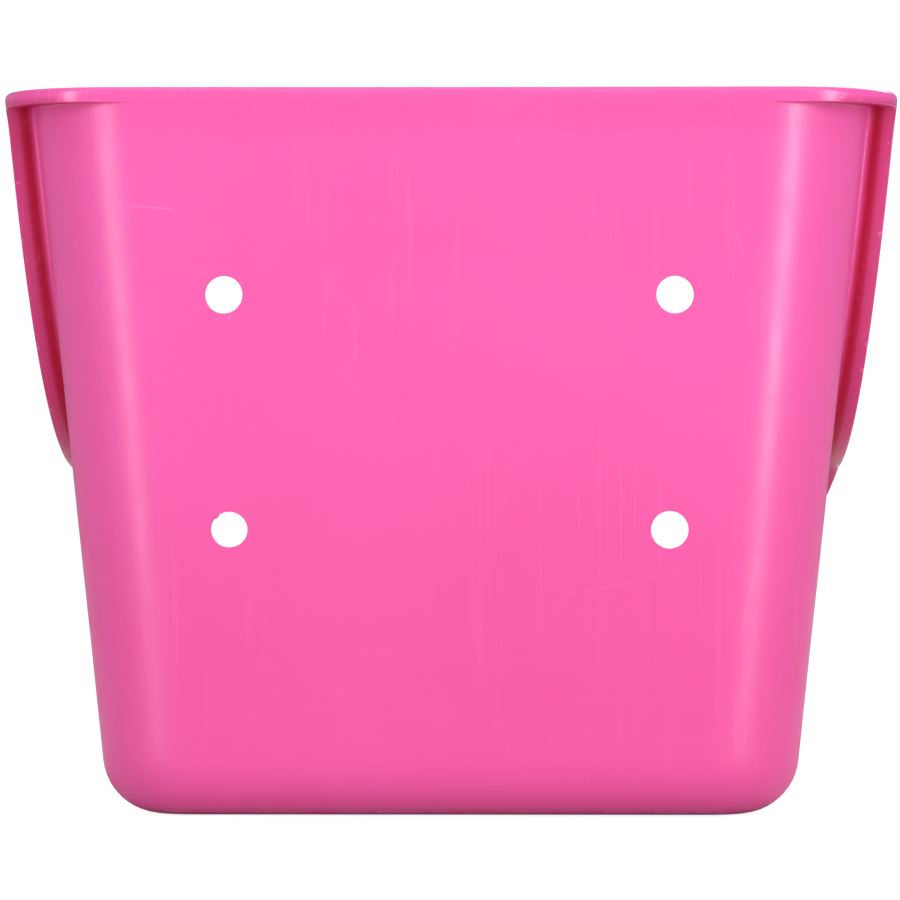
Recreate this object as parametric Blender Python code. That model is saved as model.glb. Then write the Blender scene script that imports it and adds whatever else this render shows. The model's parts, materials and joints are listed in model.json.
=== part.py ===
"""Flat-backed stable feed bucket with a low, scooped front: one plastic moulding.

The back is upright, so the bucket can be fixed flat against a wall or a stable door
through four plain holes. The side walls are cut away in a curve from the tall back to
the low front, and a turned-out rim follows that edge all the way round.

Frame: +X runs along the width, +Y from the back to the front and +Z up. The origin is
on the floor, under the middle of the bucket's box.
"""

import math

import bmesh
import bpy
from mathutils import Vector
from mathutils.geometry import interpolate_bezier

# Driving dimensions, in metres.
HEIGHT = 0.293            # floor to the top of the rim at the back
DEPTH = 0.250             # back face to the outer edge of the front rim
FRONT_HEIGHT = 0.092      # floor to the top of the front rim
TOP_WIDTH = 0.3418        # outside of the walls at the full height
BASE_WIDTH = 0.2788       # outside of the walls where their slope meets the floor
WALL = 0.003
RIM_OVERHANG = 0.0116     # how far the rim stands out from the walls
RIM_THICKNESS = 0.006
BACK_CORNER = 0.046       # radius of the upright corners, at the full height
FRONT_CORNER = 0.088
RIM_BACK_CORNER = 0.0430
RIM_FRONT_CORNER = 0.100
BASE_EDGE = 0.024         # radius between the walls and the bottom
HOLE_DIAMETER = 0.015
HOLE_ROWS = ((0.2098, 0.1807), (0.1157, 0.1764))   # height and spacing of each pair

# The rim's underside in the side view, as distance from the back and height.
RIM_TURN = 0.0090         # radius where the back's rim turns down to the side
RIM_TURN_DEPTH = 0.0347   # distance from the back where that turn starts
SIDE_FALL = ((0.0437, 0.262), (0.0437, 0.2027), (0.0685, 0.1485), (0.1635, 0.1401))
FRONT_FALL = ((0.1885, 0.1379), (0.207, 0.0935))      # handles of the run down to the front

CORNER_STEPS = 9
EDGE_STEPS = 6
TURN_STEPS = 6
FALL_STEPS = 14
HOLE_STEPS = 32
SPARE = 0.03              # how far a cutter reaches past what it cuts

BACK = -DEPTH / 2
TAPER = BASE_WIDTH / TOP_WIDTH


def depth_at_full_height(depth, height):
    """Depth that a tapered block has at HEIGHT, if it has this depth at this height."""
    return depth / (TAPER + (1 - TAPER) * height / HEIGHT)


TOP_DEPTH = depth_at_full_height(DEPTH - RIM_OVERHANG, FRONT_HEIGHT)


def clear_scene():
    for item in list(bpy.data.objects):
        bpy.data.objects.remove(item, do_unlink=True)


def new_collection(name):
    collection = bpy.data.collections.new(name)
    bpy.context.scene.collection.children.link(collection)
    return collection


def make_plastic():
    """Glossy pink polyethylene."""
    material = bpy.data.materials.new("pink_polyethylene")
    material.use_nodes = True
    shader = material.node_tree.nodes["Principled BSDF"]
    shader.inputs["Base Color"].default_value = (0.87, 0.10, 0.38, 1.0)
    shader.inputs["Roughness"].default_value = 0.35
    shader.inputs["Metallic"].default_value = 0.0
    return material


def add_object(name, bm, collection):
    mesh = bpy.data.meshes.new(name)
    bm.to_mesh(mesh)
    bm.free()
    item = bpy.data.objects.new(name, mesh)
    collection.objects.link(item)
    return item


def as_guide(item):
    item.hide_render = True
    item.display_type = "WIRE"
    return item


def upright_edges(bm, at_front):
    """The block's two vertical edges at its front, or at its back."""
    found = []
    for edge in bm.edges:
        low, high = (vertex.co for vertex in edge.verts)
        is_upright = abs(high.z - low.z) > 0.5 * HEIGHT
        if is_upright and (low.y > 0) == at_front:
            found.append(edge)
    return found


def round_edges(bm, edges, radius, steps):
    bmesh.ops.bevel(bm, geom=edges, offset=radius, offset_type="OFFSET", affect="EDGES",
                    segments=steps, profile=0.5, loop_slide=True)


def tapered_block(name, inset, corners, collection, base_edge=0.0, low=0.0):
    """A rounded block that narrows downwards, set in from the walls' outer faces.

    Its back stays upright. A negative inset stands out from the sides and the front,
    and leaves the back where it is.
    """
    back = BACK + max(inset, 0.0)
    front = BACK + TOP_DEPTH - inset
    half = TOP_WIDTH / 2 - inset
    bm = bmesh.new()
    bmesh.ops.create_cube(bm, size=1.0)
    for vertex in bm.verts:
        vertex.co.x *= 2 * half
        vertex.co.y = front if vertex.co.y > 0 else back
        vertex.co.z = HEIGHT if vertex.co.z > 0 else 0.0
    back_radius, front_radius = corners
    round_edges(bm, upright_edges(bm, at_front=False), back_radius, CORNER_STEPS)
    round_edges(bm, upright_edges(bm, at_front=True), front_radius, CORNER_STEPS)
    width_change = half - (BASE_WIDTH / 2 - inset)
    depth_change = TOP_DEPTH * (1 - TAPER)
    for vertex in bm.verts:
        height = HEIGHT + SPARE if vertex.co.z > 0 else low
        drop = 1 - height / HEIGHT
        vertex.co.x *= 1 - drop * width_change / half
        vertex.co.y = back + (vertex.co.y - back) * (1 - drop * depth_change / (front - back))
        vertex.co.z = height
    if base_edge:
        bottom = [edge for edge in bm.edges if all(v.co.z < low + 1e-6 for v in edge.verts)]
        round_edges(bm, bottom, base_edge, EDGE_STEPS)
    return as_guide(add_object(name, bm, collection))


def rim_underside():
    """Points of the rim's lower face in the side view, from the back to the front."""
    level = HEIGHT - RIM_THICKNESS
    points = [Vector((-SPARE, level))]
    for step in range(TURN_STEPS + 1):
        angle = math.radians(90) * step / TURN_STEPS
        points.append(Vector((RIM_TURN_DEPTH + RIM_TURN * math.sin(angle),
                              level - RIM_TURN * (1 - math.cos(angle)))))
    front_end = Vector((DEPTH, FRONT_HEIGHT - RIM_THICKNESS))
    side_end = Vector(SIDE_FALL[-1])
    runs = (tuple(Vector(point) for point in SIDE_FALL),
            (side_end, Vector(FRONT_FALL[0]), Vector(FRONT_FALL[1]), front_end))
    for run in runs:
        points.extend(interpolate_bezier(*run, FALL_STEPS)[1:])
    points.append(front_end + Vector((2 * SPARE, 0.0)))
    return points


def offset_line(points, distance):
    """The line moved to its left-hand side, which for the rim is up and inwards."""
    moved = []
    for index, point in enumerate(points):
        before = points[max(index - 1, 0)]
        after = points[min(index + 1, len(points) - 1)]
        along = (after - before).normalized()
        moved.append(point + Vector((-along.y, along.x)) * distance)
    return moved


def side_cutter(name, line, edge_height, collection):
    """A slab across the whole width, between a side-view line and a level edge."""
    outline = list(line) + [Vector((line[-1].x, edge_height)), Vector((line[0].x, edge_height))]
    bm = bmesh.new()
    reach = TOP_WIDTH / 2 + SPARE
    face = bm.faces.new([bm.verts.new((-reach, BACK + point.x, point.y)) for point in outline])
    pushed = bmesh.ops.extrude_face_region(bm, geom=[face])
    moved = [item for item in pushed["geom"] if isinstance(item, bmesh.types.BMVert)]
    bmesh.ops.translate(bm, verts=moved, vec=(2 * reach, 0.0, 0.0))
    bmesh.ops.recalc_face_normals(bm, faces=bm.faces)
    return as_guide(add_object(name, bm, collection))


def hole_cutter(name, x, height, collection):
    bm = bmesh.new()
    bmesh.ops.create_cone(bm, cap_ends=True, segments=HOLE_STEPS, radius1=HOLE_DIAMETER / 2,
                          radius2=HOLE_DIAMETER / 2, depth=2 * SPARE)
    item = as_guide(add_object(name, bm, collection))
    item.rotation_euler.x = math.radians(90)
    item.location = (x, BACK, height)
    return item


def add_boolean(item, operation, other):
    modifier = item.modifiers.new(operation.lower() + "_" + other.name, "BOOLEAN")
    modifier.operation = operation
    modifier.solver = "EXACT"
    modifier.object = other


def make_bucket(parts, cutters):
    """The moulding: a tapered tub with a turned-out rim, cut away at the sides."""
    walls = (BACK_CORNER, FRONT_CORNER)
    rim_corners = (RIM_BACK_CORNER, RIM_FRONT_CORNER)
    inner_corners = (BACK_CORNER - WALL, FRONT_CORNER - WALL)
    underside = rim_underside()
    top = offset_line(underside, RIM_THICKNESS)

    bucket = tapered_block("bucket_shell", 0.0, walls, parts, base_edge=BASE_EDGE)
    bucket.hide_render = False
    bucket.display_type = "TEXTURED"
    rim = tapered_block("rim_outline", -RIM_OVERHANG, rim_corners, cutters)
    below_rim = side_cutter("space_below_rim", underside, -SPARE, cutters)
    above_rim = side_cutter("space_above_rim", top, HEIGHT + 2 * SPARE, cutters)
    hollow = tapered_block("hollow", WALL, inner_corners, cutters,
                           base_edge=BASE_EDGE - WALL, low=WALL)

    add_boolean(rim, "DIFFERENCE", below_rim)
    add_boolean(bucket, "UNION", rim)
    add_boolean(bucket, "DIFFERENCE", above_rim)
    add_boolean(bucket, "DIFFERENCE", hollow)
    for row, (height, spacing) in enumerate(HOLE_ROWS):
        for side in (-1, 1):
            name = "hole_" + ("upper", "lower")[row] + ("_left" if side < 0 else "_right")
            add_boolean(bucket, "DIFFERENCE", hole_cutter(name, side * spacing / 2, height, cutters))
    bucket.data.materials.append(make_plastic())
    return bucket


def main():
    clear_scene()
    parts = new_collection("feed_bucket")
    cutters = new_collection("cutters")
    make_bucket(parts, cutters)


main()
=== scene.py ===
import json
import math
import random

import bmesh
import bpy
import numpy as np
from bpy.props import FloatProperty, FloatVectorProperty, IntProperty, PointerProperty
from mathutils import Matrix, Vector
from mathutils.geometry import interpolate_bezier


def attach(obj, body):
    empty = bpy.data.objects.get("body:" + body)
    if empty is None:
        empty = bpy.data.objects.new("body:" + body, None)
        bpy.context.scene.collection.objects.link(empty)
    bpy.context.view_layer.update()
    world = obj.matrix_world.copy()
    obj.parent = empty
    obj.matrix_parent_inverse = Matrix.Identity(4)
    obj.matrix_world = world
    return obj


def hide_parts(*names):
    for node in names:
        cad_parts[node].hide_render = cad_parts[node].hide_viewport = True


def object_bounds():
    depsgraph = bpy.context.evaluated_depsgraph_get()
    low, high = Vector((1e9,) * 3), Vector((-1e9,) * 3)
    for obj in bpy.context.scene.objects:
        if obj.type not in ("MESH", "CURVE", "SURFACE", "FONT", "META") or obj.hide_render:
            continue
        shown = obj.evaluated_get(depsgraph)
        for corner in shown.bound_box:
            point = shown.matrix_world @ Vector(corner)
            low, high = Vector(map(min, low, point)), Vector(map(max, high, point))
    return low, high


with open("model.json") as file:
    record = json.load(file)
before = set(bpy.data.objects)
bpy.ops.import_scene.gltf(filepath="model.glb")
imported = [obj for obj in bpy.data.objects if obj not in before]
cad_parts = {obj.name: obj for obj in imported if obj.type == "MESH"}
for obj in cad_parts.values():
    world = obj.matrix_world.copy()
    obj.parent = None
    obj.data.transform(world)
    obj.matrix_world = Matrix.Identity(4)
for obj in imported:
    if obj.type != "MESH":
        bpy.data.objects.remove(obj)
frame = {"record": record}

bl_info = {
    "name": "Stable Feed Bucket",
    "version": (1, 0, 0),
    "blender": (4, 5, 0),
    "location": "3D View > Sidebar > Feed Bucket",
    "description": "Builds a flat-backed moulded feed bucket with a low scooped front",
    "category": "Add Mesh",
}

CAD_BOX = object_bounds()
CAD_LOW, CAD_HIGH = CAD_BOX
NODE = "bucket_shell"

HOLES = [np.mean(opening["box_m"], axis=0)
         for opening in frame["record"]["physics"]["openings"]
         if opening["name"].startswith("hole_")]


def distance(name, description, default, **limits):
    """A length setting in metres."""
    return FloatProperty(name=name, description=description, default=default, unit="LENGTH",
                         precision=4, **limits)


# ---------------------------------------------------------------------------
# Settings


class BucketShape(bpy.types.PropertyGroup):
    """Sizes of the moulding."""

    height: distance("Height", "Floor to the top of the rim at the back", CAD_HIGH.z)
    depth: distance("Depth", "Back face to the edge of the front rim", CAD_HIGH.y - CAD_LOW.y)
    front_height: distance("Front height", "Floor to the top of the front rim", 0.092)
    top_width: distance("Top width", "Across the walls at the full height", 0.3418)
    base_width: distance("Base width", "Across the walls where their slope meets the floor", 0.2788)
    wall: distance("Wall", "Thickness of the plastic", 0.003)
    overhang: distance("Rim overhang", "How far the rim stands out from the walls", 0.0116)
    rim_thickness: distance("Rim thickness", "Height of the rim's edge", 0.006)
    back_corner: distance("Back corner", "Radius of the upright back corners at the top", 0.046)
    front_corner: distance("Front corner", "Radius of the upright front corners at the top", 0.088)
    rim_back_corner: distance("Rim back corner", "The rim's corner radius at the back", 0.0430)
    rim_front_corner: distance("Rim front corner", "The rim's corner radius at the front", 0.100)
    base_edge: distance("Base edge", "Radius between the walls and the bottom", 0.024)
    lip_radius: distance("Lip radius", "Rounding of the rim's outer top edge", 0.0036)
    mouth_radius: distance("Mouth radius", "Rounding of the rim's inner top edge", 0.0013)
    lower_radius: distance("Lower radius", "Rounding of the rim's lower edge", 0.0005)
    root_radius: distance("Root radius", "Fillet between the rim and the walls", 0.0022)
    turn_radius: distance("Turn radius", "Radius where the rim turns down to the sides", 0.0090)
    turn_depth: distance("Turn depth", "From the back to the start of that turn", 0.0347)
    hole: distance("Hole", "Diameter of the fixing holes", 0.015)
    hole_edge: distance("Hole edge", "Width of the worn edge of the fixing holes", 0.00035)


class BucketPlastic(bpy.types.PropertyGroup):
    """Colour and finish of the plastic."""

    colour: FloatVectorProperty(name="Colour", description="Colour of the clean plastic",
                                subtype="COLOR", size=3, min=0, max=1,
                                default=(0.91, 0.114, 0.425))
    # Deep colour: a random denser tone, and also painted shade low on the walls and in a band just
    # under the rim.
    deep_and_shade: FloatVectorProperty(name="Deep colour", description="Colour where it is a little denser",
                              subtype="COLOR", size=3, min=0, max=1,
                              default=(0.865, 0.091, 0.36))
    # Painted shade: a near-black red that stands in for the shade in the corner where the rim meets
    # the walls.
    root: FloatVectorProperty(name="Root colour", description="Colour in the corner under the rim",
                              subtype="COLOR", size=3, min=0, max=1,
                              default=(0.42, 0.002, 0.018))
    stress: FloatVectorProperty(name="Stress colour", description="Colour of scuffs and scratches",
                                subtype="COLOR", size=3, min=0, max=1,
                                default=(0.93, 0.42, 0.66))
    roughness: FloatProperty(name="Roughness", description="Roughness of the moulded skin",
                             default=0.32, min=0, max=1, subtype="FACTOR")


class BucketStudio(bpy.types.PropertyGroup):
    """Camera and lights."""

    camera_distance: distance("Camera distance", "From the back face to the camera", 2.0)
    camera_side: distance("Camera side", "How far the camera stands to the right", 0.0291)
    aim_side: distance("Aim", "How far to the right of the middle the camera aims", 0.0003)
    camera_height: distance("Camera height", "Height of the camera", 0.1476)
    lens: FloatProperty(name="Lens", description="Focal length", default=200.0, min=1)
    side_angle: FloatProperty(name="Side angle", description="Side lights' degrees off the middle",
                              default=44.0, min=0, max=90)
    side_distance: distance("Side distance", "From the back face to the side lights", 2.2)
    left_power: FloatProperty(name="Left power", description="Watts of the left light",
                              default=18.0, min=0)
    right_power: FloatProperty(name="Right power", description="Watts of the right light",
                               default=26.5, min=0)
    front_power: FloatProperty(name="Front power", description="Watts of the front light",
                               default=3.0, min=0)
    top_power: FloatProperty(name="Top power", description="Watts of the top light",
                             default=26.0, min=0)
    fill_power: FloatProperty(name="Fill power", description="Watts of the light on the open side",
                              default=26.0, min=0)
    surround: FloatProperty(name="Surround", description="Light from all round",
                            default=0.28, min=0)
    seed: IntProperty(name="Seed", description="Seed of the trimming marks", default=7)


# ---------------------------------------------------------------------------
# The moulding's surfaces


class Outline:
    """A rounded plan outline that narrows downwards; its right half, back to front.

    A place on it is given by w, the distance round the full-height outline from the
    middle of the back, and by the height z.
    """

    def __init__(self, shape, inset, corners):
        self.shape = shape
        self.back = CAD_LOW.y + max(inset, 0.0)
        taper = shape.base_width / shape.top_width
        slope_scale = taper + (1 - taper) * shape.front_height / shape.height
        top_depth = (shape.depth - shape.overhang) / slope_scale
        self.half = shape.top_width / 2 - inset
        self.length = CAD_LOW.y + top_depth - inset - self.back
        self.width_loss = (shape.top_width - shape.base_width) / 2 / self.half
        self.depth_loss = top_depth * (1 - taper) / self.length
        self.back_r, self.front_r = corners
        runs = (self.half - self.back_r, self.back_r * math.pi / 2,
                self.length - self.back_r - self.front_r,
                self.front_r * math.pi / 2, self.half - self.front_r)
        self.marks = np.concatenate([[0.0], np.cumsum(runs)])

    def scales(self, z):
        """How much narrower and shallower the outline is at z than at the full height."""
        drop = 1 - np.asarray(z) / self.shape.height
        return 1 - drop * self.width_loss, 1 - drop * self.depth_loss

    def plan(self, w):
        """Full-height plan position from the middle of the back, and the outward normal."""
        w = np.asarray(w, float)
        m = self.marks
        zone = np.clip(np.searchsorted(m, w, side="right") - 1, 0, 4)
        along = w - m[zone]
        a = along / self.back_r
        b = along / self.front_r
        x = np.select([zone == 0, zone == 1, zone == 2, zone == 3],
                      [along, self.half - self.back_r * (1 - np.sin(a)), self.half + 0 * w,
                       self.half - self.front_r * (1 - np.cos(b))],
                      self.half - self.front_r - along)
        y = np.select([zone == 0, zone == 1, zone == 2, zone == 3],
                      [0 * w, self.back_r * (1 - np.cos(a)), self.back_r + along,
                       self.length - self.front_r * (1 - np.sin(b))],
                      self.length + 0 * w)
        angle = np.select([zone == 0, zone == 1, zone == 2, zone == 3],
                          [0 * w, a, math.pi / 2 + 0 * w, math.pi / 2 + b], math.pi + 0 * w)
        return x, y, np.sin(angle), -np.cos(angle)

    def point(self, w, z):
        """The places in space at w and z."""
        x, y, _, _ = self.plan(w)
        sx, sy = self.scales(z)
        return np.stack([x * sx, self.back + y * sy, np.asarray(z) + 0 * x], axis=-1)

    def w_at_depth(self, d, z):
        """Place on the side where the outline is d behind the back face's plane."""
        _, sy = self.scales(z)
        y = (CAD_LOW.y + np.asarray(d) - self.back) / sy
        m = self.marks
        in_back = m[1] + self.back_r * np.arccos(np.clip(1 - y / self.back_r, -1, 1))
        on_side = m[2] + y - self.back_r
        into_front = (y - (self.length - self.front_r)) / self.front_r
        in_front = m[3] + self.front_r * np.arcsin(np.clip(into_front, 0, 1))
        return np.where(y < self.back_r, in_back, np.where(into_front < 0, on_side, in_front))

    def depth(self, w, z):
        """Distance from the back face's plane at w and z."""
        return self.point(w, z)[..., 1] - CAD_LOW.y


# Curve handles of the rim's underside in the side view: distance from the back, and height.
SIDE_FALL = ((0.0437, 0.262), (0.0437, 0.2027), (0.0685, 0.1485), (0.1635, 0.1401))
FRONT_FALL = ((0.1885, 0.1379), (0.207, 0.0935))


def rim_lines(shape):
    """The rim's underside and top in the side view: distance from the back, and height."""
    level = shape.height - shape.rim_thickness
    turn, start = shape.turn_radius, shape.turn_depth
    points = [Vector((-0.03, level))]
    points += [Vector((start + turn * math.sin(a), level - turn * (1 - math.cos(a))))
               for a in np.linspace(0, math.pi / 2, 40)]
    side = [Vector(point) for point in SIDE_FALL]
    end = Vector((shape.depth, shape.front_height - shape.rim_thickness))
    front = [side[-1], *(Vector(point) for point in FRONT_FALL), end]
    for run in (side, front):
        points += interpolate_bezier(*run, 160)[1:]
    points.append(end + Vector((0.06, 0.0)))
    under = np.array(points)
    tangent = np.gradient(under, axis=0)
    tangent /= np.linalg.norm(tangent, axis=1)[:, None]
    normal = np.stack([-tangent[:, 1], tangent[:, 0]], axis=1)
    return under, under + normal * shape.rim_thickness


COLUMNS = (22, 18, 130, 30, 16)     # back, back corner, side run, front corner, front


def height_on_line(line, depth):
    """Height of a rim line at a distance from the back."""
    return np.interp(depth, line[:, 0], line[:, 1])


def edge_on_sheet(outline, line):
    """Where an outline meets a rim face: (w, z) from the middle of the back to the front."""
    m = outline.marks
    level = line[0, 1]
    turn_depth = outline.shape.turn_depth
    turn_w = float(outline.w_at_depth(turn_depth, level))
    w = [np.linspace(m[0], m[1], COLUMNS[0] + 1), np.linspace(m[1], turn_w, COLUMNS[1] + 1)[1:]]
    z = [np.full(len(part), level) for part in w]
    steps = np.concatenate([[0], np.cumsum(np.linalg.norm(np.diff(line, axis=0), axis=1))])
    corner_start = 0.0
    for _ in range(30):
        height = height_on_line(line, corner_start)
        corner_start = float(outline.depth(m[3], height))
    first = np.interp(turn_depth, line[:, 0], steps)
    last = np.interp(corner_start, line[:, 0], steps)
    run = np.linspace(first, last, COLUMNS[2] + 1)[1:]
    run_d, run_z = np.interp(run, steps, line[:, 0]), np.interp(run, steps, line[:, 1])
    w.append(outline.w_at_depth(run_d, run_z))
    z.append(run_z)
    for zone in (3, 4):
        part = np.linspace(m[zone], m[zone + 1], COLUMNS[zone] + 1)[1:]
        height = np.full(len(part), line[-1, 1])
        for _ in range(40):
            height = height_on_line(line, outline.depth(part, height))
        w.append(part)
        z.append(height)
    return np.concatenate(w), np.concatenate(z)


def rounded(before, corner, after, radius, steps):
    """Points of a round between two directions at a corner, for every column at once."""
    to_a, to_b = before - corner, after - corner
    len_a = np.linalg.norm(to_a, axis=1)
    len_b = np.linalg.norm(to_b, axis=1)
    reach = np.minimum(radius, 0.48 * np.minimum(len_a, len_b))
    unit_a = to_a / np.maximum(len_a, 1e-9)[:, None]
    unit_b = to_b / np.maximum(len_b, 1e-9)[:, None]
    start, end = corner + unit_a * reach[:, None], corner + unit_b * reach[:, None]
    cosine = np.clip(np.sum(unit_a * unit_b, axis=1), -1, 1)
    weight = np.sqrt((1 - cosine) / 2)[:, None]
    rows = []
    for t in np.linspace(0, 1, steps + 1):
        top = (1 - t) ** 2 * start + 2 * weight * t * (1 - t) * corner + t ** 2 * end
        rows.append(top / ((1 - t) ** 2 + 2 * weight * t * (1 - t) + t ** 2))
    return rows


def wall_rows(outline, edge, first_step, base_z, base_radius, count):
    """Rows of points down a wall, from just under its edge to the middle of the bottom."""
    w, z = edge
    dw, dz = np.gradient(w), np.gradient(z)
    size = np.hypot(dw, dz)
    normal = np.stack([dz / size, -dw / size], axis=1)
    normal[0] = normal[-1] = (0.0, -1.0)
    along = np.concatenate([[0], np.cumsum(np.hypot(np.diff(w), np.diff(z)))])
    base_w = along / along[-1] * outline.marks[-1]
    slope = wall_slope(outline, base_w)
    tangent_z = base_z + base_radius * (1 - np.sin(slope))
    start = np.stack([w, z], axis=1) + normal * first_step[:, None]
    end = np.stack([base_w, tangent_z], axis=1)
    span = np.linalg.norm(end - start, axis=1)[:, None]
    handle_a = start + normal * np.minimum(0.22 * span, 0.018)
    handle_b = end + np.array([0.0, 1.0]) * 0.3 * span
    rows = []
    for k in range(count + 1):
        t = (k / count) ** 1.35
        place = ((1 - t) ** 3 * start + 3 * (1 - t) ** 2 * t * handle_a
                 + 3 * (1 - t) * t ** 2 * handle_b + t ** 3 * end)
        rows.append(outline.point(place[:, 0], place[:, 1]))
    _, _, nx, ny = outline.plan(base_w)
    edge_point = rows[-1]
    for angle in np.linspace(0, 1, 13)[1:]:
        phi = slope + (math.pi / 2 - slope) * angle
        inset = base_radius * (np.cos(slope) - np.cos(phi))
        z_now = base_z + base_radius * (1 - np.sin(phi))
        rows.append(np.stack([edge_point[:, 0] - nx * inset, edge_point[:, 1] - ny * inset, z_now],
                             axis=1))
    ring = rows[-1]
    centre = np.array([0.0, (ring[0, 1] + ring[-1, 1]) / 2, base_z])
    for share in (0.86, 0.66, 0.44, 0.22):
        rows.append(centre + (ring - centre) * share)
    return rows, centre


def wall_slope(outline, w):
    """Angle by which the wall leans outwards at w."""
    low, high = outline.point(w, 0.0), outline.point(w, 0.1)
    _, _, nx, ny = outline.plan(w)
    lean = (high[:, 0] - low[:, 0]) * nx + (high[:, 1] - low[:, 1]) * ny
    return np.arctan2(lean, 0.1)


def shell_rows(shape):
    """All rows of the moulding, from the middle of the inside to the middle of the underside.

    Each row comes with how exposed it is to wear, how much painted shade it takes in the rim's
    root and whether it is on the inside.
    """
    outer = Outline(shape, 0.0, (shape.back_corner, shape.front_corner))
    inner = Outline(shape, shape.wall, (shape.back_corner - shape.wall,
                                        shape.front_corner - shape.wall))
    lip = Outline(shape, -shape.overhang, (shape.rim_back_corner, shape.rim_front_corner))
    under, top = rim_lines(shape)
    mouth_edge = edge_on_sheet(inner, top)
    root_edge = edge_on_sheet(outer, under)
    mouth = inner.point(*mouth_edge)
    lip_top = lip.point(*edge_on_sheet(lip, top))
    lip_low = lip.point(*edge_on_sheet(lip, under))
    root = outer.point(*root_edge)
    stand_out = np.linalg.norm(lip_low - root, axis=1)
    root_r = np.minimum(shape.root_radius, 0.45 * stand_out)
    mouth_r = np.full(len(mouth), shape.mouth_radius)
    inside, floor = wall_rows(inner, mouth_edge, mouth_r, shape.wall,
                              shape.base_edge - shape.wall, 44)
    outside, bottom = wall_rows(outer, root_edge, root_r, 0.0, shape.base_edge, 44)
    lip_r = np.full(len(mouth), shape.lip_radius)
    low_r = np.minimum(shape.lower_radius, 0.3 * stand_out)
    mouth_rows = rounded(inside[0], mouth, lip_top, mouth_r, 5)[1:]
    lip_rows = rounded(mouth, lip_top, lip_low, lip_r, 9)
    low_rows = rounded(lip_top, lip_low, root, low_r, 4)
    root_rows = rounded(lip_low, root, outside[0], root_r, 6)[:-1]
    _, _, away_x, away_y = outer.plan(root_edge[0])
    clear = (lip_low - root)[:, 0] * away_x + (lip_low - root)[:, 1] * away_y
    proud = np.clip((clear - 0.001) / 0.006, 0, 1)
    # Each group: rows, wear, painted shade in the rim's root (the "root" mark) and whether it is
    # inside.
    groups = [(list(reversed(inside)), 0.0, 0.0, 1.0), (mouth_rows, 0.1 + 0.5 * proud, 0.0, 0.0),
              (lip_rows, 0.1 + 0.7 * proud, 0.0, 0.0), (low_rows, proud, proud * 0.45, 0.0)]
    # Extra rows across the rim's underside carry the painted shade, darkest in the corner against
    # the walls.
    for share, depth in ((0.18, 0.52), (0.36, 0.62), (0.50, 0.92), (0.62, 1.0), (0.76, 1.0),
                         (0.90, 0.70)):
        under_row = low_rows[-1] * (1 - share) + root_rows[0] * share
        groups.append(([under_row], 0.0, proud * depth, 0.0))
    groups += [(root_rows, 0.0, proud * 0.15, 0.0), (outside, 0.0, 0.0, 0.0)]
    rows = [row for group in groups for row in group[0]]
    marks = [[value + 0 * proud for value in group[1:]] for group in groups for _ in group[0]]
    lip_line = lip.point(*edge_on_sheet(lip, (top + under) / 2))
    return rows, marks, floor, bottom, lip_line


def mesh_from_rows(name, rows, marks, floor, bottom):
    """Joins the rows of the right half, mirrors them, and closes the shell."""
    half = np.array(rows)
    half[:, 0, 0] = half[:, -1, 0] = 0.0
    left = half[:, -2:0:-1].copy()
    left[:, :, 0] *= -1
    loops = np.concatenate([half, left], axis=1)
    row_count, column_count = loops.shape[:2]
    vertices = np.concatenate([loops.reshape(-1, 3), [floor, bottom]])
    faces = []
    for row in range(row_count - 1):
        for column in range(column_count):
            after = (column + 1) % column_count
            here, there = row * column_count, (row + 1) * column_count
            faces.append((here + column, here + after, there + after, there + column))
    first, last = len(vertices) - 2, len(vertices) - 1
    end = (row_count - 1) * column_count
    for column in range(column_count):
        after = (column + 1) % column_count
        faces.append((first, after, column))
        faces.append((last, end + column, end + after))
    mesh = bpy.data.meshes.new(name)
    mesh.from_pydata(vertices.tolist(), [], faces)
    # The "root" mark is the amount of painted shade in the corner under the rim.
    for number, mark in enumerate(("wear", "root", "inner")):
        right = np.array([row_marks[number] for row_marks in marks])
        values = np.concatenate([right, right[:, -2:0:-1]], axis=1).ravel()
        ends = [right[0, 0], right[-1, 0]]
        attribute = mesh.attributes.new(mark, "FLOAT", "POINT")
        attribute.data.foreach_set("value", np.concatenate([values, ends]))
    bm = bmesh.new()
    bm.from_mesh(mesh)
    bmesh.ops.remove_doubles(bm, verts=bm.verts, dist=2e-6)
    bmesh.ops.dissolve_degenerate(bm, edges=bm.edges, dist=1e-6)
    bmesh.ops.recalc_face_normals(bm, faces=bm.faces)
    bm.to_mesh(mesh)
    bm.free()
    return mesh


# ---------------------------------------------------------------------------
# Fixing holes and trimming marks

SLIVER_WEAR = 3.0       # slivers are worn right through, beyond the rim's 0 to 1
# Burr at the lower left hole: x, z and length.
BURR = ((-0.0929, 0.1207, 0.0006), (-0.0934, 0.1203, 0.0004), (-0.0924, 0.1212, 0.0004))
# Nicks along the top of the back: x and length.
NICKS = ((-0.0500, 0.0007), (-0.0470, 0.0005), (-0.0437, 0.0013), (-0.0400, 0.0008))


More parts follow.
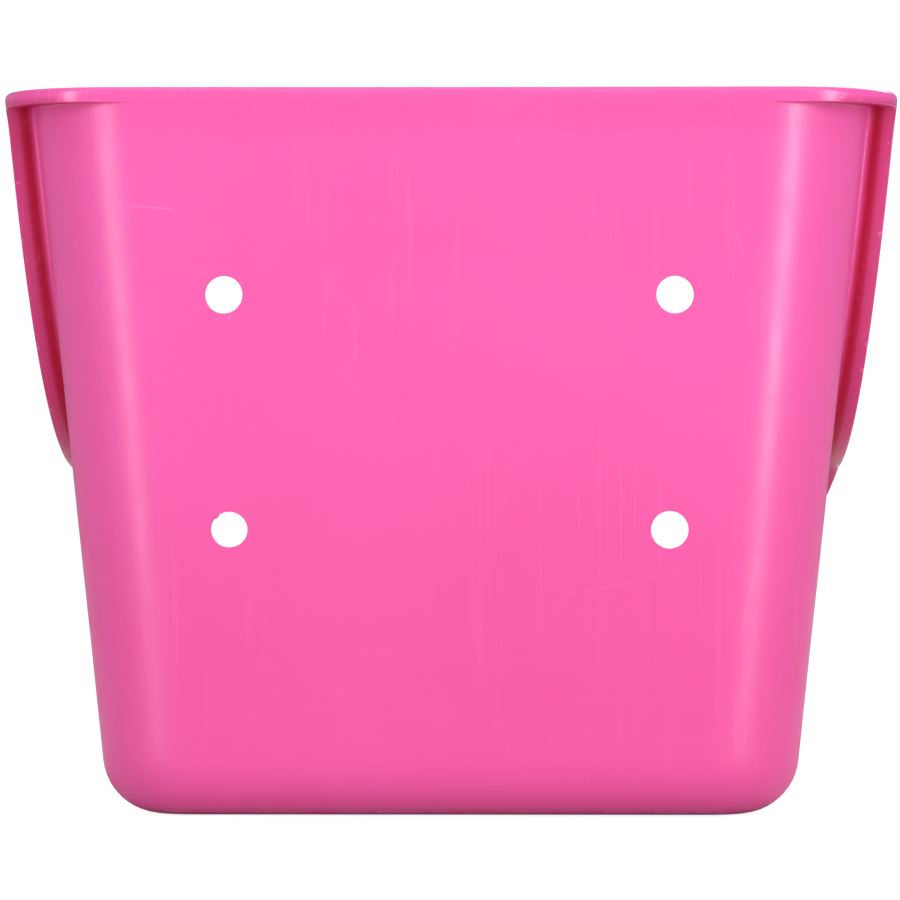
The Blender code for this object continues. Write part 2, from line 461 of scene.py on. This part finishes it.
def hole_cutter(shape):
    """A turned cutter along Y whose ends flare by the worn edge of a hole."""
    radius, edge, wall = shape.hole / 2, shape.hole_edge, shape.wall
    profile = [(-0.004, radius + edge + 0.004)]
    for angle in np.linspace(0, math.pi / 2, 4):
        profile.append((edge * (1 - math.cos(angle)), radius + edge * (1 - math.sin(angle))))
    for angle in np.linspace(math.pi / 2, 0, 4):
        profile.append((wall - edge * (1 - math.cos(angle)), radius + edge * (1 - math.sin(angle))))
    profile.append((wall + 0.004, radius + edge + 0.004))
    bm = bmesh.new()
    rings = []
    for along, across in profile:
        ring = [bm.verts.new((across * math.cos(turn), along, across * math.sin(turn)))
                for turn in np.linspace(0, 2 * math.pi, 72, endpoint=False)]
        rings.append(ring)
    for ring, after in zip(rings, rings[1:]):
        for k in range(len(ring)):
            n = (k + 1) % len(ring)
            bm.faces.new((ring[k], ring[n], after[n], after[k]))
    bm.faces.new(rings[0])
    bm.faces.new(rings[-1])
    bmesh.ops.recalc_face_normals(bm, faces=bm.faces)
    mesh = bpy.data.meshes.new("hole cutter")
    bm.to_mesh(mesh)
    bm.free()
    return bpy.data.objects.new("hole cutter", mesh)


def point_object(name, places, turns, sizes):
    """Loose points that carry a rotation and a size each."""
    mesh = bpy.data.meshes.new(name)
    mesh.from_pydata([tuple(place) for place in places], [], [])
    for label, values in (("turn", turns), ("size", sizes)):
        attribute = mesh.attributes.new(label, "FLOAT_VECTOR", "POINT")
        attribute.data.foreach_set("vector", np.array(values, float).ravel())
    return bpy.data.objects.new(name, mesh)


def hole_places(shape):
    """Where each fixing hole was drilled, with the drill's slight tilt."""
    tilts = {(False, True): (0.0, 0.0, 0.0), (True, True): (0.0, 0.0, 0.0),
             (False, False): (0.03, 0.0, -0.03), (True, False): (0.0, 0.0, -0.02)}
    places, turns, sizes = [], [], []
    middle = (CAD_LOW.z + CAD_HIGH.z) / 2
    for hole in HOLES:
        turn = tilts[hole[0] > 0, hole[2] > middle]
        places.append((hole[0], CAD_LOW.y, hole[2]))
        turns.append(turn)
        sizes.append((0.985, 1.0, 0.95) if turn[0] else (1.0, 1.0, 1.0))
    return point_object("hole places", places, turns, sizes)


def sliver_places(lip_line, seed):
    """Places for the thin slivers left along the rim where the moulding was trimmed."""
    rng = random.Random(seed)
    steps = np.concatenate([[0], np.cumsum(np.linalg.norm(np.diff(lip_line, axis=0), axis=1))])
    places, turns, sizes = [], [], []
    for _ in range(12):
        along, side = rng.uniform(0.05, steps[-1]), rng.choice((-1, 1))
        here = Vector([np.interp(along, steps, lip_line[:, axis]) for axis in range(3)])
        ahead = Vector([np.interp(along + 0.002, steps, lip_line[:, axis]) for axis in range(3)])
        run = ahead - here
        place = here - Vector((math.copysign(0.00035, here.x), 0.0, 0.0))
        place.y = max(place.y, CAD_LOW.y + 0.0004)
        place.x *= side
        run.x *= side
        places.append(place)
        turns.append(run.to_track_quat("X", "Z").to_euler())
        sizes.append((rng.uniform(0.0003, 0.0009), 0.00014, 0.0002))
    face = CAD_LOW.y + SIDE_FALL[0][0]
    for _ in range(22):
        low, high = rng.choice(((0.2630, 0.2705), (0.2548, 0.2585)))
        places.append((rng.uniform(-0.1775, -0.1755), face, rng.uniform(low, high)))
        turns.append((rng.uniform(-0.2, 0.2), rng.uniform(-1.4, 1.4), 0.0))
        sizes.append((rng.uniform(0.0002, 0.0007), 0.00014, rng.uniform(0.00010, 0.00022)))
    for x, z, length in BURR:
        places.append((x, CAD_LOW.y + 0.00035, z))
        turns.append((0.0, -0.8 + 300 * (x - BURR[0][0]), 0.0))
        sizes.append((length, 0.0002, 0.0003))
    for x, length in NICKS:
        places.append((x, CAD_LOW.y + 0.0012, CAD_HIGH.z - 0.00045))
        turns.append((0.0, rng.uniform(-0.1, 0.1), 0.0))
        sizes.append((length, 0.0003, 0.0003))
    return point_object("sliver places", places, turns, sizes)


def finishing_tree():
    """Drills the holes, adds the slivers and sets the material."""
    group = bpy.data.node_groups.new("holes and slivers", "GeometryNodeTree")
    group.is_modifier = True
    kinds = (("Moulding", "Geometry"), ("Hole Places", "Object"), ("Hole Cutter", "Object"),
             ("Sliver Places", "Object"), ("Plastic", "Material"))
    for name, kind in kinds:
        group.interface.new_socket(name, in_out="INPUT", socket_type="NodeSocket" + kind)
    group.interface.new_socket("Finished Moulding", in_out="OUTPUT",
                               socket_type="NodeSocketGeometry")
    new, link = group.nodes.new, group.links.new
    source, result = new("NodeGroupInput"), new("NodeGroupOutput")

    def new_attribute(name):
        node = new("GeometryNodeInputNamedAttribute")
        node.data_type = "FLOAT_VECTOR"
        node.inputs["Name"].default_value = name
        return node

    def spread(points_name, thing):
        points = new("GeometryNodeObjectInfo")
        turn, size = new_attribute("turn"), new_attribute("size")
        link(source.outputs[points_name], points.inputs["Object"])
        spread_node = new("GeometryNodeInstanceOnPoints")
        link(points.outputs["Geometry"], spread_node.inputs["Points"])
        link(thing, spread_node.inputs["Instance"])
        link(turn.outputs["Attribute"], spread_node.inputs["Rotation"])
        link(size.outputs["Attribute"], spread_node.inputs["Scale"])
        whole = new("GeometryNodeRealizeInstances")
        link(spread_node.outputs["Instances"], whole.inputs["Geometry"])
        return whole.outputs["Geometry"]

    cutter = new("GeometryNodeObjectInfo")
    link(source.outputs["Hole Cutter"], cutter.inputs["Object"])
    cut = new("GeometryNodeMeshBoolean")
    cut.operation = "DIFFERENCE"
    cut.solver = "EXACT"
    link(source.outputs["Moulding"], cut.inputs["Mesh 1"])
    link(spread("Hole Places", cutter.outputs["Geometry"]), cut.inputs["Mesh 2"])
    drop = new("GeometryNodeMeshIcoSphere")
    drop.inputs["Radius"].default_value = 1.0
    drop.inputs["Subdivisions"].default_value = 3
    worn = new("GeometryNodeStoreNamedAttribute")
    worn.data_type = "FLOAT"
    worn.domain = "POINT"
    worn.inputs["Name"].default_value = "wear"
    worn.inputs["Value"].default_value = SLIVER_WEAR
    link(spread("Sliver Places", drop.outputs["Mesh"]), worn.inputs["Geometry"])
    both = new("GeometryNodeJoinGeometry")
    link(cut.outputs["Mesh"], both.inputs["Geometry"])
    link(worn.outputs["Geometry"], both.inputs["Geometry"])
    whole = new("GeometryNodeRealizeInstances")
    link(both.outputs["Geometry"], whole.inputs["Geometry"])
    painted = new("GeometryNodeSetMaterial")
    link(whole.outputs["Geometry"], painted.inputs["Geometry"])
    link(source.outputs["Plastic"], painted.inputs["Material"])
    link(painted.outputs["Geometry"], result.inputs["Finished Moulding"])
    return group


def apply_tree(thing, group, values):
    """Runs a node tree on an object and keeps the result as its plain mesh."""
    modifier = thing.modifiers.new(group.name, "NODES")
    modifier.node_group = group
    for socket in group.interface.items_tree:
        if socket.in_out == "INPUT" and socket.name in values:
            modifier[socket.identifier] = values[socket.name]
    depsgraph = bpy.context.evaluated_depsgraph_get()
    mesh = bpy.data.meshes.new_from_object(thing.evaluated_get(depsgraph))
    thing.modifiers.clear()
    thing.data = mesh
    return mesh


class FEEDBUCKET_OT_shell(bpy.types.Operator):
    """Make the moulding: walls, bottom, rim, fixing holes and trimming marks"""

    bl_idname = "feedbucket.shell"
    bl_label = "Bucket Moulding"

    def execute(self, context):
        scene = context.scene
        shape = scene.bucket_shape
        rows, marks, floor, bottom, lip_line = shell_rows(shape)
        mesh = mesh_from_rows("moulding", rows, marks, floor, bottom)
        shell = bpy.data.objects.new("moulding", mesh)
        helpers = {"Hole Cutter": hole_cutter(shape), "Hole Places": hole_places(shape),
                   "Sliver Places": sliver_places(lip_line, scene.bucket_studio.seed)}
        for thing in (shell, *helpers.values()):
            scene.collection.objects.link(thing)
        plastic = plastic_material(scene.bucket_plastic)
        mesh = apply_tree(shell, finishing_tree(), {**helpers, "Plastic": plastic})
        for helper in helpers.values():
            bpy.data.objects.remove(helper)
        mesh.shade_smooth()
        mesh.set_sharp_from_angle(angle=math.radians(24))
        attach(shell, "root")
        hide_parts(NODE)
        return {"FINISHED"}


# ---------------------------------------------------------------------------
# Material

# Scratches in the back: start and end (x, z), width, bend and strength.
SCRATCHES = (
    ((-0.1290, 0.2455), (-0.1100, 0.2440), 0.00055, 0.2, 0.75),
    ((-0.1165, 0.2470), (-0.1100, 0.2432), 0.00035, 0.0, 0.45),
    ((0.1150, 0.2355), (0.1190, 0.2230), 0.00045, 14.0, 0.70),
    ((0.1175, 0.2390), (0.1235, 0.2330), 0.00035, -9.0, 0.45),
    ((-0.0320, 0.2425), (-0.0260, 0.2405), 0.00040, 6.0, 0.55),
    ((0.0200, 0.0850), (0.0960, 0.0995), 0.00035, 0.2, 0.38),
    ((-0.0560, 0.1790), (-0.0530, 0.1830), 0.00055, 0.0, 0.50),
    ((-0.1335, 0.2500), (-0.1325, 0.2496), 0.00060, 0.0, 0.80),
    ((0.1240, 0.1060), (0.1170, 0.0730), 0.00090, 1.2, 0.32),
    ((0.1290, 0.0960), (0.1210, 0.0700), 0.00060, -1.0, 0.28),
    ((-0.1050, 0.2215), (-0.0950, 0.2175), 0.00060, 0.0, 0.30),
    ((0.0430, 0.1500), (0.0600, 0.1360), 0.00030, 1.0, 0.22),
    ((-0.0750, 0.0620), (-0.0400, 0.0500), 0.00035, 0.8, 0.25),
)


class Graph:
    """Small helpers to write a shader's node graph."""

    def __init__(self, tree):
        self.tree = tree

    def add(self, kind, inputs=(), **settings):
        node = self.tree.nodes.new(kind)
        for name, value in settings.items():
            setattr(node, name, value)
        for name, value in dict(inputs).items():
            if isinstance(value, bpy.types.NodeSocket):
                self.tree.links.new(value, node.inputs[name])
            else:
                node.inputs[name].default_value = value
        return node

    def maths(self, operation, *values, clamp=False):
        node = self.add("ShaderNodeMath", enumerate(values), operation=operation, use_clamp=clamp)
        return node.outputs["Value"]

    def stretch(self, vector, scale, rotation=(0, 0, 0)):
        node = self.add("ShaderNodeMapping", {"Vector": vector, "Scale": scale,
                                              "Rotation": rotation})
        return node.outputs["Vector"]

    def noise(self, vector, scale, detail=3.0, roughness=0.5):
        node = self.add("ShaderNodeTexNoise", {"Vector": vector, "Scale": scale,
                                               "Detail": detail, "Roughness": roughness})
        return node.outputs["Fac"]

    def between(self, value, low, high, start=0.0, end=1.0):
        node = self.add("ShaderNodeMapRange", {"Value": value, "From Min": low, "From Max": high,
                                               "To Min": start, "To Max": end},
                        interpolation_type="SMOOTHSTEP")
        return node.outputs["Result"]

    def mark(self, name):
        return self.add("ShaderNodeAttribute", attribute_name=name).outputs["Fac"]

    def blend(self, amount, first, second):
        node = self.add("ShaderNodeMix", {0: amount}, data_type="RGBA")
        for place, value in ((6, first), (7, second)):
            if isinstance(value, bpy.types.NodeSocket):
                self.tree.links.new(value, node.inputs[place])
            else:
                node.inputs[place].default_value = (*value, 1)
        return node.outputs[2]

    def bump(self, height, depth, strength):
        node = self.add("ShaderNodeBump", {"Height": height, "Distance": depth,
                                           "Strength": strength})
        return node.outputs["Normal"]


def scratch_group():
    """A single bent, broken stroke that runs along X from the origin."""
    tree = bpy.data.node_groups.new("scratch", "ShaderNodeTree")
    for name, kind in (("Place", "Vector"), ("Length", "Float"), ("Width", "Float"),
                       ("Bend", "Float"), ("Strength", "Float")):
        tree.interface.new_socket(name, in_out="INPUT", socket_type="NodeSocket" + kind)
    tree.interface.new_socket("Amount", in_out="OUTPUT", socket_type="NodeSocketFloat")
    graph = Graph(tree)
    source, result = graph.add("NodeGroupInput"), graph.add("NodeGroupOutput")
    parts = graph.add("ShaderNodeSeparateXYZ", {0: source.outputs["Place"]}).outputs
    length = source.outputs["Length"]
    rest = graph.maths("SUBTRACT", length, parts["X"])
    sag = graph.maths("MULTIPLY", graph.maths("MULTIPLY", parts["X"], rest), source.outputs["Bend"])
    off = graph.maths("ABSOLUTE", graph.maths("ADD", parts["Z"], sag))
    ends = graph.maths("MINIMUM", parts["X"], rest)
    taper = graph.maths("MULTIPLY", ends, 400.0, clamp=True)
    width = graph.maths("MULTIPLY", source.outputs["Width"], taper)
    line = graph.maths("SUBTRACT", 1.0, graph.maths("DIVIDE", off, width), clamp=True)
    line = graph.maths("MULTIPLY", line, graph.maths("GREATER_THAN", ends, 0.0))
    amount = graph.maths("MULTIPLY", line, source.outputs["Strength"])
    tree.links.new(amount, result.inputs["Amount"])
    return tree


def scratches(graph, place, grit):
    """All the listed scratches together."""
    group = scratch_group()
    total = None
    for start, end, width, bend, strength in SCRATCHES:
        run = Vector(end) - Vector(start)
        angle = -math.atan2(run.y, run.x)
        moved = graph.add("ShaderNodeMapping", {"Vector": place, "Rotation": (0, angle, 0),
                                                "Location": (start[0], CAD_LOW.y, start[1])},
                          vector_type="TEXTURE")
        stroke = graph.add("ShaderNodeGroup", node_tree=group)
        graph.tree.links.new(moved.outputs["Vector"], stroke.inputs["Place"])
        for name, value in (("Length", run.length), ("Width", width), ("Bend", bend),
                            ("Strength", strength)):
            stroke.inputs[name].default_value = value
        total = stroke.outputs[0] if total is None else graph.maths("MAXIMUM", total,
                                                                    stroke.outputs[0])
    parts = graph.add("ShaderNodeSeparateXYZ", {0: place}).outputs
    breaks = graph.between(grit, 0.30, 0.52)
    skin = graph.maths("LESS_THAN", parts["Y"], CAD_LOW.y + 0.0030)
    return graph.maths("MULTIPLY", graph.maths("MULTIPLY", total, breaks), skin)


def fine_marks(graph, place, mottle):
    """Thin, sparse rub marks in a few directions."""
    total = None
    layers = (((0.0, 0.25, 0.1), (70.0, 900.0, 900.0), 0.69),
              ((0.2, -0.9, 0.0), (60.0, 900.0, 1100.0), 0.70))
    for rotation, scale, level in layers:
        lines = graph.noise(graph.stretch(graph.stretch(place, (1, 1, 1), rotation), scale),
                            1.0, 1.0, 0.55)
        total_here = graph.between(lines, level, level + 0.06)
        total = total_here if total is None else graph.maths("MAXIMUM", total, total_here)
    patches = graph.between(mottle, 0.40, 0.60)
    return graph.maths("MULTIPLY", total, patches)


def plastic_material(plastic):
    """Glossy pink polyethylene with drag marks, scuffs, scratches and a worn rim, and painted shade
    low on the walls, in a band under the rim and in the rim's root.
    """
    material = bpy.data.materials.new("pink polyethylene")
    material.use_nodes = True
    graph = Graph(material.node_tree)
    shader = material.node_tree.nodes["Principled BSDF"]
    place = graph.add("ShaderNodeTexCoord").outputs["Object"]
    height = graph.add("ShaderNodeSeparateXYZ", {0: place}).outputs["Z"]
    cloud = graph.noise(place, 9.0, 2.0, 0.55)
    mottle = graph.noise(place, 70.0, 2.0, 0.6)
    grit = graph.noise(place, 150.0, 3.0, 0.68)
    streaks = graph.noise(graph.stretch(place, (420.0, 420.0, 9.0)), 1.0, 2.0, 0.6)
    rubs = graph.noise(graph.stretch(place, (14.0, 260.0, 420.0)), 1.0, 1.0, 0.6)
    low = graph.between(height, 0.10, 0.03)
    rubs = graph.maths("MULTIPLY", graph.between(rubs, 0.55, 0.72), low)
    drags = graph.maths("MULTIPLY", graph.between(streaks, 0.56, 0.74),
                        graph.between(cloud, 0.42, 0.62))
    fine = fine_marks(graph, place, mottle)
    strokes = scratches(graph, place, grit)
    inner = graph.mark("inner")
    # Mask of the painted shade in the corner under the rim.
    root = graph.mark("root")
    feed = graph.maths("MULTIPLY", inner, graph.between(height, 0.12, 0.005))
    feed = graph.maths("MULTIPLY", feed, graph.between(grit, 0.50, 0.66))
    ground = graph.maths("MULTIPLY", graph.between(height, 0.0035, 0.0002),
                         graph.between(grit, 0.42, 0.60))
    worn = graph.maths("MULTIPLY", graph.mark("wear"),
                       graph.between(grit, 0.60, 0.74))
    worn = graph.maths("MINIMUM", worn, 1.0)

    tone = graph.maths("ADD", graph.maths("MULTIPLY", cloud, 0.75),
                       graph.maths("MULTIPLY", mottle, 0.25))
    # Painted shade: darker towards the bottom of the walls, on top of a random denser tone.
    tone_and_shade = graph.maths("MULTIPLY_ADD", graph.between(height, 0.225, 0.045), 0.70,
                        graph.maths("MULTIPLY", graph.between(tone, 0.36, 0.64), 0.30))
    # Painted shadow in a band just under the overhanging rim.
    rim_shadow_band = graph.maths("MULTIPLY", graph.between(height, 0.268, 0.282),
                       graph.between(height, 0.2905, 0.2860))
    tone_and_shade = graph.maths("MULTIPLY_ADD", rim_shadow_band, 0.40, tone_and_shade)
    colour = graph.blend(tone_and_shade, plastic.colour, plastic.deep_and_shade)
    # Painted shade in the corner where the rim meets the walls.
    colour = graph.blend(graph.maths("MULTIPLY", root, 0.92), colour, plastic.root)
    pale = graph.maths("MULTIPLY", drags, 0.055)
    pale = graph.maths("MAXIMUM", pale, graph.maths("MULTIPLY", rubs, 0.022))
    pale = graph.maths("MAXIMUM", pale, graph.maths("MULTIPLY", fine, 0.055))
    pale = graph.maths("MAXIMUM", pale, graph.maths("MULTIPLY", feed, 0.22))
    pale = graph.maths("MAXIMUM", pale, graph.maths("MULTIPLY", ground, 0.45))
    pale = graph.maths("MAXIMUM", pale, graph.maths("MULTIPLY", worn, 0.55))
    pale = graph.maths("MAXIMUM", pale, graph.maths("MULTIPLY", strokes, 0.38))
    colour = graph.blend(pale, colour, plastic.stress)
    graph.tree.links.new(colour, shader.inputs["Base Color"])

    roughness = graph.between(mottle, 0.3, 0.7, plastic.roughness - 0.035,
                              plastic.roughness + 0.045)
    roughness = graph.maths("ADD", roughness, graph.maths("MULTIPLY", pale, 0.35))
    roughness = graph.maths("ADD", roughness, graph.maths("MULTIPLY", drags, 0.05))
    polish = graph.maths("MINIMUM", graph.mark("wear"), 1.0)
    roughness = graph.maths("SUBTRACT", roughness, graph.maths("MULTIPLY", polish, 0.15))
    graph.tree.links.new(roughness, shader.inputs["Roughness"])
    # The painted shade in the rim's root also dims the gloss there.
    shine = graph.maths("MULTIPLY_ADD", root, -0.42, 0.5)
    graph.tree.links.new(shine, shader.inputs["Specular IOR Level"])

    waves = graph.noise(graph.stretch(place, (1.0, 1.0, 0.45)), 16.0, 0.0)
    grain = graph.noise(place, 1300.0, 0.0)
    relief = graph.maths("MULTIPLY_ADD", streaks, 0.60, graph.maths("MULTIPLY", grain, 0.16))
    relief = graph.maths("MULTIPLY_ADD", waves, 5.0, relief)
    graph.tree.links.new(graph.bump(relief, 0.0001, 0.45), shader.inputs["Normal"])
    shader.inputs["IOR"].default_value = 1.51
    return material


# ---------------------------------------------------------------------------
# Stage

FLOOR_SIZE = 80.0
FLOOR_GAP = 0.0005      # keeps the floor clear of the bottom
FLOOR_GLOW = 0.86       # seen by the camera only, so that the floor reads as white
BACKDROP = 1.1          # brightness of the backdrop in the camera


def soft_light(name, place, aim, size, power):
    """A rectangular soft light at a place, turned to a point."""
    data = bpy.data.lights.new(name, "AREA")
    data.shape = "RECTANGLE"
    data.size, data.size_y = size
    data.energy = power
    light = bpy.data.objects.new(name, data)
    light.location = place
    light.rotation_euler = (Vector(aim) - Vector(place)).to_track_quat("-Z", "Y").to_euler()
    bpy.context.scene.collection.objects.link(light)
    return light


class FEEDBUCKET_OT_stage(bpy.types.Operator):
    """Make the floor, the lights and the camera"""

    bl_idname = "feedbucket.stage"
    bl_label = "Stage"

    def execute(self, context):
        scene = context.scene
        studio = scene.bucket_studio
        scene.view_settings.view_transform = "Standard"
        bpy.ops.mesh.primitive_plane_add(size=FLOOR_SIZE, location=(0, 0, -FLOOR_GAP))
        floor = context.object
        floor.name = "floor"
        white = bpy.data.materials.new("studio white")
        white.use_nodes = True
        shader = white.node_tree.nodes["Principled BSDF"]
        shader.inputs["Base Color"].default_value = (0.62, 0.62, 0.62, 1)
        shader.inputs["Roughness"].default_value = 0.9
        shader.inputs["Specular IOR Level"].default_value = 0.1
        path = white.node_tree.nodes.new("ShaderNodeLightPath")
        glow = white.node_tree.nodes.new("ShaderNodeMath")
        glow.operation = "MULTIPLY"
        glow.inputs[1].default_value = FLOOR_GLOW
        white.node_tree.links.new(path.outputs["Is Camera Ray"], glow.inputs[0])
        white.node_tree.links.new(glow.outputs["Value"], shader.inputs["Emission Strength"])
        floor.data.materials.append(white)
        self.light_world(scene, studio.surround)
        back = CAD_LOW.y
        middle = Vector((0.0, back, 0.15))
        reach = studio.side_distance
        for name, side, power in (("left soft light", -1, studio.left_power),
                                  ("right soft light", 1, studio.right_power)):
            angle = math.radians(studio.side_angle) * side
            place = middle + Vector((math.sin(angle), -math.cos(angle), 0.27)) * reach
            soft_light(name, place, (0.0, back, place.z), (0.45, 1.5), power)
        soft_light("front soft light", Vector((0.0, back - 0.95, 1.0)), (0.0, back, 0.22),
                   (1.2, 0.4), studio.front_power)
        soft_light("top soft light", Vector((0.0, 0.25, 2.6)), (0.0, 0.0, 0.0), (3.0, 3.0),
                   studio.top_power)
        soft_light("fill light", Vector((0.7, 2.0, 1.7)), (0.0, 0.0, 0.1), (1.6, 1.0),
                   studio.fill_power)
        data = bpy.data.cameras.new("camera")
        data.lens = studio.lens
        data.sensor_width = 36
        camera = bpy.data.objects.new("camera", data)
        scene.collection.objects.link(camera)
        camera.location = (studio.camera_side, back - studio.camera_distance, studio.camera_height)
        target = Vector((studio.aim_side, back, studio.camera_height))
        camera.rotation_euler = (target - camera.location).to_track_quat("-Z", "Y").to_euler()
        scene.camera = camera
        return {"FINISHED"}

    @staticmethod
    def light_world(scene, strength):
        """A white backdrop for the camera that lights the bucket more softly."""
        world = bpy.data.worlds.new("studio")
        world.use_nodes = True
        tree = world.node_tree
        background = tree.nodes["Background"]
        background.inputs["Color"].default_value = (1, 1, 1, 1)
        path = tree.nodes.new("ShaderNodeLightPath")
        level = tree.nodes.new("ShaderNodeMapRange")
        level.inputs["To Min"].default_value = strength
        level.inputs["To Max"].default_value = BACKDROP
        tree.links.new(path.outputs["Is Camera Ray"], level.inputs["Value"])
        tree.links.new(level.outputs["Result"], background.inputs["Strength"])
        scene.world = world


class FEEDBUCKET_PT_panel(bpy.types.Panel):
    """Settings and buttons of the feed bucket"""

    bl_idname = "FEEDBUCKET_PT_panel"
    bl_label = "Feed Bucket"
    bl_space_type = "VIEW_3D"
    bl_region_type = "UI"
    bl_category = "Feed Bucket"

    def draw(self, context):
        scene = context.scene
        for settings in (scene.bucket_shape, scene.bucket_plastic, scene.bucket_studio):
            box = self.layout.box()
            for name in settings.__annotations__:
                box.prop(settings, name)
        for operator in (FEEDBUCKET_OT_shell, FEEDBUCKET_OT_stage):
            self.layout.operator(operator.bl_idname)


CLASSES = (BucketShape, BucketPlastic, BucketStudio, FEEDBUCKET_OT_shell,
           FEEDBUCKET_OT_stage, FEEDBUCKET_PT_panel)


def register():
    for cls in CLASSES:
        bpy.utils.register_class(cls)
    bpy.types.Scene.bucket_shape = PointerProperty(type=BucketShape)
    bpy.types.Scene.bucket_plastic = PointerProperty(type=BucketPlastic)
    bpy.types.Scene.bucket_studio = PointerProperty(type=BucketStudio)


def unregister():
    del bpy.types.Scene.bucket_studio
    del bpy.types.Scene.bucket_plastic
    del bpy.types.Scene.bucket_shape
    for cls in reversed(CLASSES):
        bpy.utils.unregister_class(cls)


def main():
    """Builds the bucket and its stage."""
    register()
    bpy.ops.feedbucket.shell()
    bpy.ops.feedbucket.stage()


if __name__ == "__main__":
    main()
